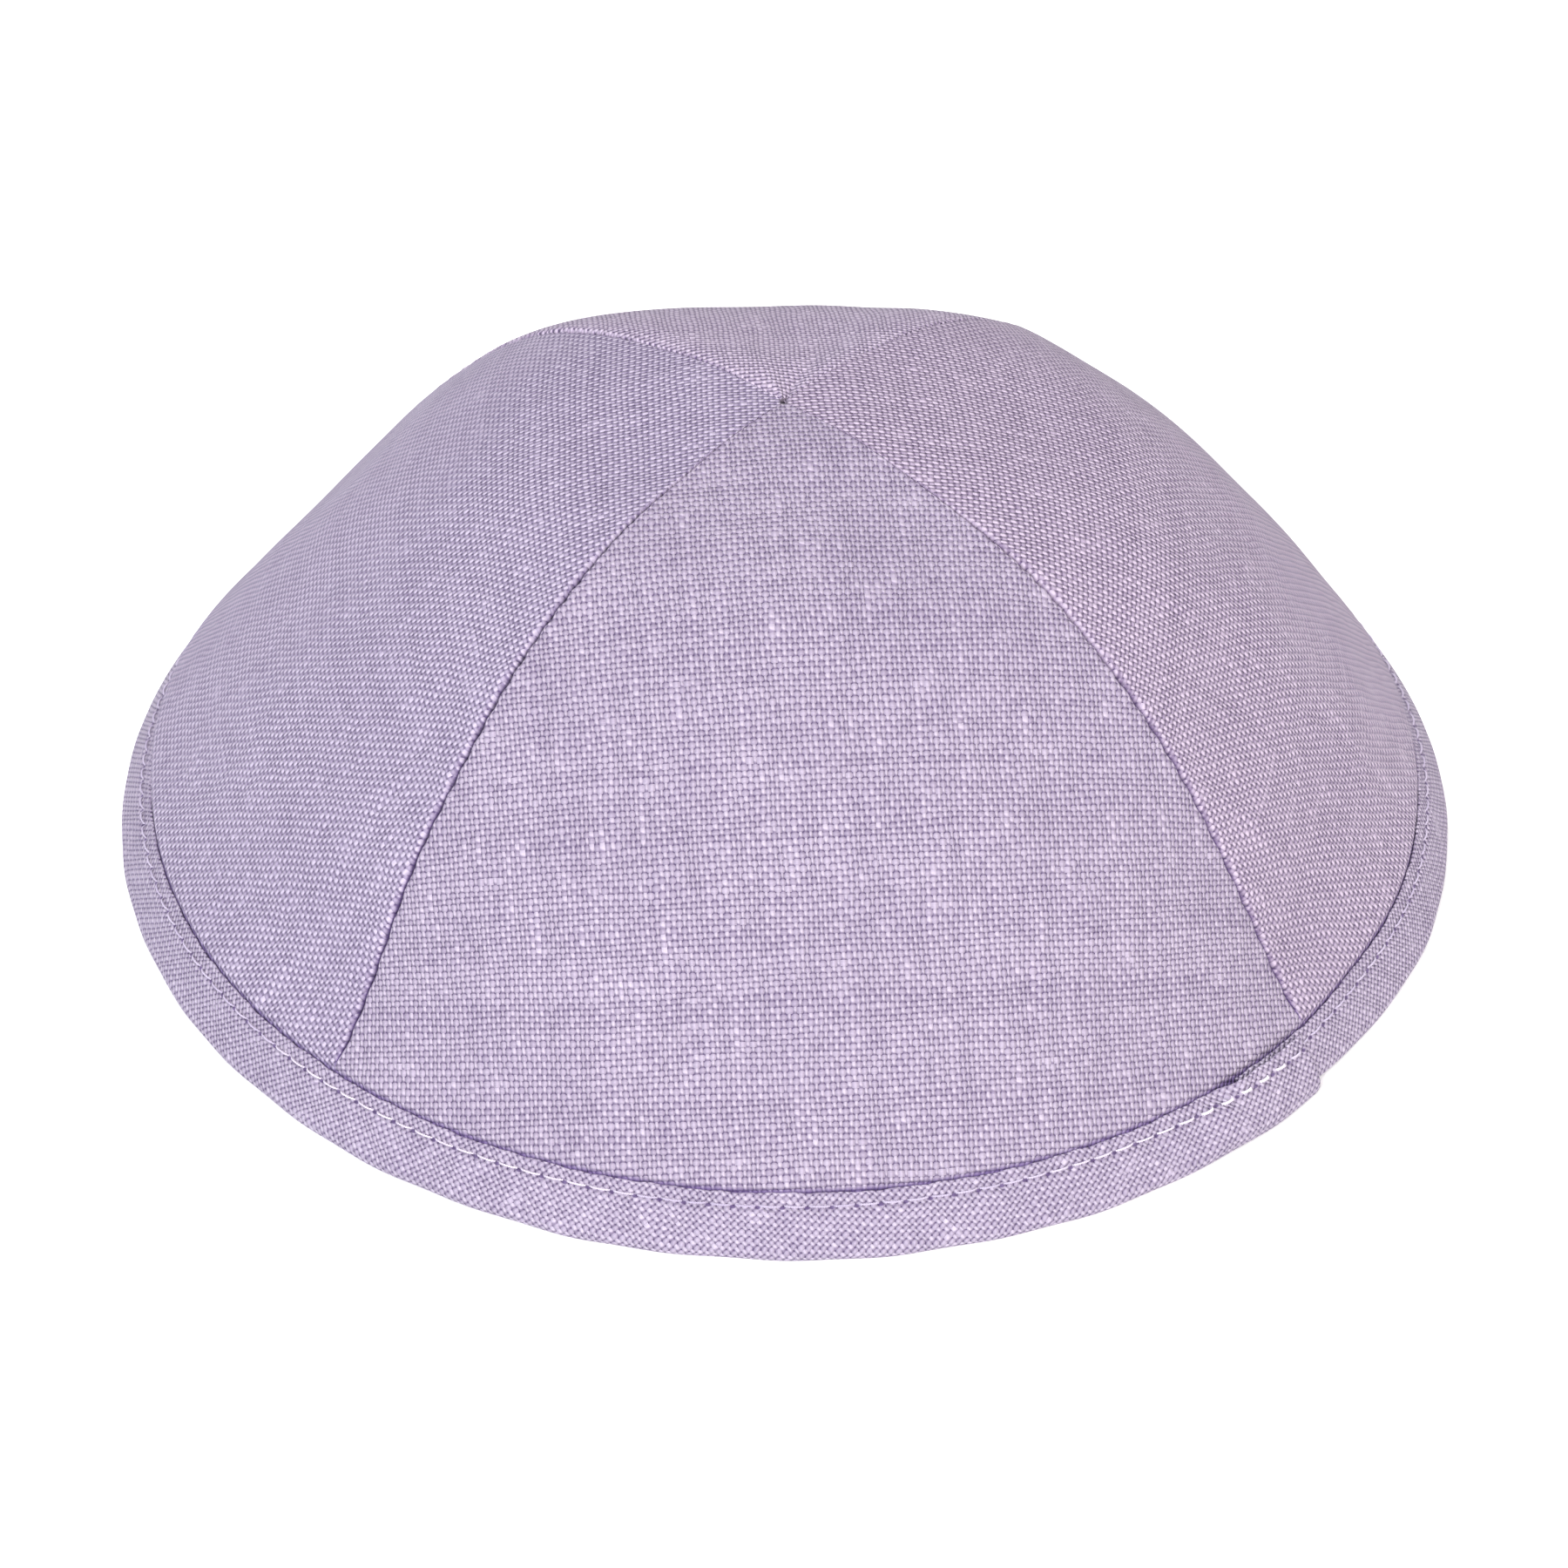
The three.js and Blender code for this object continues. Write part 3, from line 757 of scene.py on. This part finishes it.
def make_tape():
    """The tape as one closed shell, swept round the rim."""
    per_degree = math.radians(1) * rim_radius
    start = tape_end - lap_length / per_degree
    end = tape_end + 360
    ramp = lap_ramp / per_degree
    joint = sewn_gap / per_degree
    azimuths = np.linspace(start, end, tape_stations)
    from_start = 1 - smooth_step(azimuths, tape_end, tape_end + ramp)
    to_end = smooth_step(azimuths, start + 360 - joint - ramp, start + 360 - joint)
    edge_to_end = smooth_step(azimuths, start + 360 - edge_ramp / per_degree, start + 360)
    outside = []
    inside = []
    cloth = []
    for azimuth, first, last, edge_last in zip(azimuths, from_start, to_end, edge_to_end):
        profile = tape_profile(lap_lift * last, lap_lift * max(first, last), lap_lift * edge_last)
        along, across, turn, half = profile.T
        run = np.concatenate([[0], np.cumsum(np.hypot(np.diff(along), np.diff(across)))])
        to_edge = min(azimuth - start, end - azimuth) * per_degree
        edge_dip = end_round - math.sqrt(max(end_round**2 - max(end_round - to_edge, 0) ** 2, 0))
        half = np.maximum(half - edge_dip, thinnest)
        # The stitches draw the tape in along their row, and most at their holes
        place = (azimuth - stitch_azimuth) * stitch_count / 360
        to_hole = (place - round(place)) * 2 * math.pi * rim_radius / stitch_count
        off_row = run - stitch_inset
        dip = groove_depth * np.exp(-((off_row / groove_width) ** 2))
        dip += hole_dip * np.exp(-((off_row / hole_width) ** 2) - (to_hole / hole_width) ** 2)
        # Its folded edge waves a little between the stitches, and its fold swells unevenly
        angle = math.radians(azimuth)
        wave = math.sin(31 * angle + 1) + 0.7 * math.sin(73 * angle + 2.2) + 0.5 * math.sin(118 * angle)
        pull = math.cos(2 * math.pi * place)
        top = smooth_step(along, outer_leg - 0.0016, outer_leg)
        along = along + top * (edge_wave * wave - edge_pull * pull) * (np.cos(turn) > 0)
        uneven = math.sin(17 * angle) + math.sin(41 * angle + 1.7)
        swell = fold_swell * uneven * np.sin(turn) * (turn < 1.5)
        # Directions across the wall, towards the tape's outside
        side_along = -np.sin(turn)
        side_across = np.cos(turn)
        outer = (along + side_along * (half - dip + swell), across + side_across * (half - dip + swell))
        inner = (along - side_along * half, across - side_across * half)
        for grid, (run_up, run_out) in ((outside, outer), (inside, inner)):
            places = hem_foot + run_up[:, None] * hem_up + run_out[:, None] * hem_out
            places[:, 1] = np.maximum(places[:, 1], 0.0)
            grid.append(round_rim(np.full(len(run), azimuth), places[:, 0], places[:, 1]))
        round_rim_run = np.full(len(run), (azimuth - stitch_azimuth) * per_degree)
        cloth.append(np.stack([round_rim_run, run], axis=1) * 1000)
    outside, inside, cloth = (np.swapaxes(np.array(grid), 0, 1) for grid in (outside, inside, cloth))
    crease_shade = np.zeros(outside.shape[:2])
    return closed_shell("tape", outside, inside, cloth, cloth, crease_shade)


tape = make_tape()
# Painted light: the tape's copy of the same linen gets its own lighter tint
tape_light_tint = (1.04, 1.06, 1.03)
tape_bias = math.radians(42)
tape_linen = linen("linen_tape", tinted(tape_light_tint), (57.0, 83.0, 0.0), tape_bias, (0.64, 0.70))
tree = tape_linen.node_tree
wires = Wiring(tree)
# Painted shade in the needle holes of the stitch row, in the colour of the gaps' painted shade
split = wires.add("ShaderNodeSeparateXYZ")
wires.feed(split.inputs[0], wires.add("ShaderNodeUVMap", uv_map="cloth").outputs[0])
hole_pitch = 2 * math.pi * rim_radius * 1000 / stitch_count
along_row = wires.math("DIVIDE", split.outputs[0], hole_pitch)
to_nearest = wires.math("SUBTRACT", along_row, wires.math("ROUND", along_row))
from_hole = wires.math("MULTIPLY", to_nearest, hole_pitch / 0.42)
from_row = wires.math("DIVIDE", wires.math("SUBTRACT", split.outputs[1], stitch_inset * 1000), 0.24)
along_share = wires.math("POWER", wires.math("ABSOLUTE", from_hole), 2.0)
across_share = wires.math("POWER", wires.math("ABSOLUTE", from_row), 2.0)
spread = wires.math("ADD", along_share, across_share)
painted_hole_shade = wires.math("MULTIPLY", wires.ramp(spread, 1.4, 0.3), 0.9)
shader = tree.nodes["Principled BSDF"]
linen_colour = shader.inputs["Base Color"].links[0].from_socket
wires.feed(shader.inputs["Base Color"], wires.blend(painted_hole_shade, linen_colour, lilac[2]))
tape.data.materials.append(tape_linen)
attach(tape, "root")
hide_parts("edge_tape")

# THE TOPSTITCHING
# One row of machine stitches in a two-ply thread of the cap's own colour holds both legs of the tape. The
# thread shows for most of each stitch and dives into a needle hole at each end. Beside the join it was pulled
# flat and pale where the seam was sewn over twice. Left and right of the front the stitches carry a painted
# highlight.
thread_radius = 0.000085
ply_offset = 0.000075
stitch_share = 0.80
stitch_rise = 0.00073
side_sink = 0.00012
stitch_seed = 7


def stitch_shape():
    """Node group that lays a twisted two-ply stitch on each point."""
    group = bpy.data.node_groups.new("stitches", "GeometryNodeTree")
    wanted = (
        ("Points", "INPUT", "NodeSocketGeometry", None),
        ("Ply radius", "INPUT", "NodeSocketFloat", thread_radius),
        ("Ply offset", "INPUT", "NodeSocketFloat", ply_offset),
        ("Twists", "INPUT", "NodeSocketFloat", 4.0),
        ("Rise", "INPUT", "NodeSocketFloat", 0.00008),
        ("Dive", "INPUT", "NodeSocketFloat", 0.00045),
        ("Thread", "INPUT", "NodeSocketMaterial", None),
        ("Stitches", "OUTPUT", "NodeSocketGeometry", None),
    )
    for name, way, kind, value in wanted:
        socket = group.interface.new_socket(name=name, in_out=way, socket_type=kind)
        if value is not None:
            socket.default_value = value
    wires = Wiring(group)
    given = wires.add("NodeGroupInput").outputs
    span = wires.add("GeometryNodeCurvePrimitiveLine")
    wires.feed(span.inputs["Start"], (-0.5, 0.0, 0.0))
    wires.feed(span.inputs["End"], (0.5, 0.0, 0.0))
    dense = wires.add("GeometryNodeResampleCurve")
    wires.feed(dense.inputs["Curve"], span.outputs[0])
    wires.feed(dense.inputs["Count"], 19)
    place = wires.add("ShaderNodeSeparateXYZ")
    wires.feed(place.inputs[0], wires.add("GeometryNodeInputPosition").outputs[0])
    ring = wires.add("GeometryNodeCurvePrimitiveCircle")
    wires.feed(ring.inputs["Resolution"], 7)
    wires.feed(ring.inputs["Radius"], given["Ply radius"])
    far = wires.math("POWER", wires.math("ABSOLUTE", wires.math("MULTIPLY", place.outputs[0], 2.0)), 3.0)
    arch = wires.math("SUBTRACT", given["Rise"], wires.math("MULTIPLY", far, given["Dive"]))
    turn = wires.math("MULTIPLY", wires.math("MULTIPLY", place.outputs[0], given["Twists"]), 2 * math.pi)
    join = wires.add("GeometryNodeJoinGeometry")
    for phase in (0.0, math.pi):
        angle = wires.math("ADD", turn, phase)
        aside = wires.math("MULTIPLY", wires.math("COSINE", angle), given["Ply offset"])
        above = wires.math("MULTIPLY_ADD", wires.math("SINE", angle), given["Ply offset"], arch)
        bent = wires.add("GeometryNodeSetPosition")
        wires.feed(bent.inputs["Geometry"], dense.outputs[0])
        wires.feed(bent.inputs["Offset"], wires.vector(0.0, aside, above))
        tube = wires.add("GeometryNodeCurveToMesh")
        wires.feed(tube.inputs["Curve"], bent.outputs[0])
        wires.feed(tube.inputs["Profile Curve"], ring.outputs[0])
        wires.feed(tube.inputs["Fill Caps"], True)
        wires.tree.links.new(tube.outputs[0], join.inputs[0])

    def stored(name, kind):
        node = wires.add("GeometryNodeInputNamedAttribute", data_type=kind)
        wires.feed(node.inputs["Name"], name)
        return node.outputs[0]

    turned = wires.add("FunctionNodeAxesToRotation", primary_axis="X", secondary_axis="Z")
    wires.feed(turned.inputs["Primary Axis"], stored("along", "FLOAT_VECTOR"))
    wires.feed(turned.inputs["Secondary Axis"], stored("away", "FLOAT_VECTOR"))
    laid = wires.add("GeometryNodeInstanceOnPoints")
    wires.feed(laid.inputs["Points"], given["Points"])
    wires.feed(laid.inputs["Instance"], join.outputs[0])
    wires.feed(laid.inputs["Rotation"], turned.outputs[0])
    wires.feed(laid.inputs["Scale"], stored("stretch", "FLOAT_VECTOR"))
    real = wires.add("GeometryNodeRealizeInstances")
    wires.feed(real.inputs[0], laid.outputs[0])
    smooth = wires.add("GeometryNodeSetShadeSmooth")
    wires.feed(smooth.inputs[0], real.outputs[0])
    painted = wires.add("GeometryNodeSetMaterial")
    wires.feed(painted.inputs["Geometry"], smooth.outputs[0])
    wires.feed(painted.inputs["Material"], given["Thread"])
    wires.feed(wires.add("NodeGroupOutput").inputs[0], painted.outputs[0])
    return group


def points_mesh(name, places, values):
    """Bare points with vectors or numbers stored on them."""
    mesh = bpy.data.meshes.new(name)
    mesh.from_pydata(places.tolist(), [], [])
    for key, data in values.items():
        vector = data.ndim == 2
        attribute = mesh.attributes.new(key, "FLOAT_VECTOR" if vector else "FLOAT", "POINT")
        attribute.data.foreach_set("vector" if vector else "value", data.astype(np.float32).ravel())
    return mesh


def grown(name, mesh, group, settings):
    """An object whose mesh is what a node group makes of some points."""
    item = bpy.data.objects.new(name, mesh)
    bpy.context.scene.collection.objects.link(item)
    modifier = item.modifiers.new("grow", "NODES")
    modifier.node_group = group
    inputs = [socket for socket in group.interface.items_tree if socket.in_out == "INPUT"]
    sockets = {socket.name: socket.identifier for socket in inputs}
    for key, value in settings.items():
        modifier[sockets[key]] = value
    seen = item.evaluated_get(bpy.context.evaluated_depsgraph_get())
    made = bpy.data.meshes.new_from_object(seen)
    item.modifiers.remove(modifier)
    item.data = made
    return item


def stitch_points():
    """Middles of the stitches on the tape, with their directions, sizes, and paleness with its painted
    highlight.
    """
    turns = (np.arange(stitch_count) + 0.5) * 360 / stitch_count + stitch_azimuth
    turns = np.where(turns > tape_end, turns - 360, turns)
    per_degree = math.radians(1) * rim_radius
    ramp = lap_ramp / per_degree
    start = tape_end - lap_length / per_degree
    to_end = smooth_step(turns, start - ramp, start)
    from_start = 1 - smooth_step(turns + 360, tape_end, tape_end + ramp)
    spread = lap_lift * to_end
    across = tape_reach + spread
    along = np.full(turns.shape, outer_leg - end_round - (stitch_inset - stitch_rise))

    def on_tape(azimuth):
        flat = hem_foot + along[:, None] * hem_up + across[:, None] * hem_out
        return round_rim(azimuth, flat[:, 0], flat[:, 1])

    places = on_tape(turns)
    tangent = unit(on_tape(turns + 0.2) - on_tape(turns - 0.2))
    plan = plan_direction(turns)
    away = np.concatenate([plan * hem_out[0], np.full((len(turns), 1), hem_out[1])], axis=1)
    places -= away * (side_sink * smooth_step(np.abs(turns), 75, 95))[:, None]
    beside_join = smooth_step(turns, 33, 39) * (1 - smooth_step(turns, 46, 50))
    chance = np.random.default_rng(stitch_seed)
    length = 2 * math.pi * rim_radius / stitch_count * (stitch_share - 0.26 * beside_join)
    length = length * chance.uniform(0.94, 1.04, len(turns))
    wide = 1 + 0.5 * beside_join
    stretch = np.stack([length, wide, wide], axis=1)
    # Painted highlight on the stitches left and right of the front, and real paleness beside the join
    left_sheen = smooth_step(turns, -52, -44) * (1 - smooth_step(turns, -20, -8))
    right_sheen = smooth_step(turns, 12, 30) * (1 - smooth_step(turns, 44, 49))
    pale_and_sheen = 0.1 + 0.45 * left_sheen + 0.5 * right_sheen + 0.35 * beside_join * right_sheen
    pale_and_sheen = pale_and_sheen + chance.uniform(-0.1, 0.1, len(turns))
    tilt = chance.uniform(-0.05, 0.05, len(turns))[:, None]
    tangent = unit(tangent + tilt * np.cross(away, tangent))
    values = {"along": tangent, "away": away, "stretch": stretch, "pale_and_sheen": pale_and_sheen}
    return points_mesh("stitch_points", places, values)


thread = bpy.data.materials.new("sewing_thread")
thread.use_nodes = True
tree = thread.node_tree
wires = Wiring(tree)
shader = tree.nodes["Principled BSDF"]
# The stitches' paleness, partly a painted highlight, blends the thread towards a pale lilac
pale_and_sheen = wires.add("ShaderNodeAttribute", attribute_name="pale_and_sheen").outputs["Fac"]
fibres = wires.add("ShaderNodeTexNoise")
wires.feed(fibres.inputs["Vector"], wires.add("ShaderNodeTexCoord").outputs["Object"])
wires.feed(fibres.inputs["Scale"], 4500.0)
base = wires.blend(pale_and_sheen, (0.36, 0.31, 0.43, 1.0), (0.66, 0.62, 0.67, 1.0))
furrows = wires.math("MULTIPLY", fibres.outputs[0], 0.35)
wires.feed(shader.inputs["Base Color"], wires.blend(furrows, base, lilac[0]))
shader.inputs["Roughness"].default_value = 0.45
shader.inputs["Sheen Weight"].default_value = 0.1
topstitch = grown("topstitch", stitch_points(), stitch_shape(), {"Thread": thread})
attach(topstitch, "root")

# THE TABLE, THE LIGHT AND THE CAMERA
# The cap lies on a plain white table under large soft lights, and the camera looks down on its front.
table_half = 3.0
table_drop = 0.0001
bpy.ops.mesh.primitive_plane_add(size=2 * table_half, location=(0, 0, -table_drop))
table = bpy.context.object
table.name = "table"
paint = bpy.data.materials.new("white_table")
paint.use_nodes = True
paint.node_tree.nodes["Principled BSDF"].inputs["Base Color"].default_value = (0.95, 0.95, 0.955, 1)
paint.node_tree.nodes["Principled BSDF"].inputs["Roughness"].default_value = 0.7
table.data.materials.append(paint)

world = bpy.data.worlds.new("studio")
bpy.context.scene.world = world
world.use_nodes = True
world.node_tree.nodes["Background"].inputs["Color"].default_value = (0.95, 0.97, 1.0, 1)
world.node_tree.nodes["Background"].inputs["Strength"].default_value = 0.4


def soft_light(name, place, target, size, power, colour):
    """A square lamp that faces a point of the table."""
    lamp = bpy.data.lights.new(name, "AREA")
    lamp.size = size
    lamp.energy = power
    lamp.color = colour
    item = bpy.data.objects.new(name, lamp)
    bpy.context.scene.collection.objects.link(item)
    item.location = place
    away = np.array(place) - np.array(target)
    level = math.hypot(away[0], away[1])
    item.rotation_euler = (math.atan2(level, away[2]), 0, math.atan2(away[0], -away[1]))


soft_light("key", (-0.12, -1.35, 1.25), (0, 0, 0.03), 0.6, 35.3, (1.0, 0.985, 0.97))
soft_light("above", (-0.20, 0.14, 1.1), (0, 0, 0.03), 0.25, 8, (1.0, 0.99, 0.98))
soft_light("cool", (-1.15, -0.95, 0.6), (0, 0, 0.03), 0.5, 10, (0.82, 0.90, 1.0))
soft_light("warm", (1.15, -0.95, 0.6), (0, 0, 0.03), 0.5, 15, (1.0, 0.94, 0.89))

camera_distance = 0.720
camera_elevation = math.radians(39.73)
origin_below_centre = math.radians(0.218)
lens = bpy.data.cameras.new("camera")
lens.lens = 120.5
lens.sensor_width = 36
camera = bpy.data.objects.new("camera", lens)
bpy.context.scene.collection.objects.link(camera)
camera.location = (
    0,
    -camera_distance * math.cos(camera_elevation),
    camera_distance * math.sin(camera_elevation),
)
camera.rotation_euler = (math.pi / 2 - camera_elevation + origin_below_centre, 0, 0)
bpy.context.scene.camera = camera
bpy.context.scene.view_settings.view_transform = "Standard"
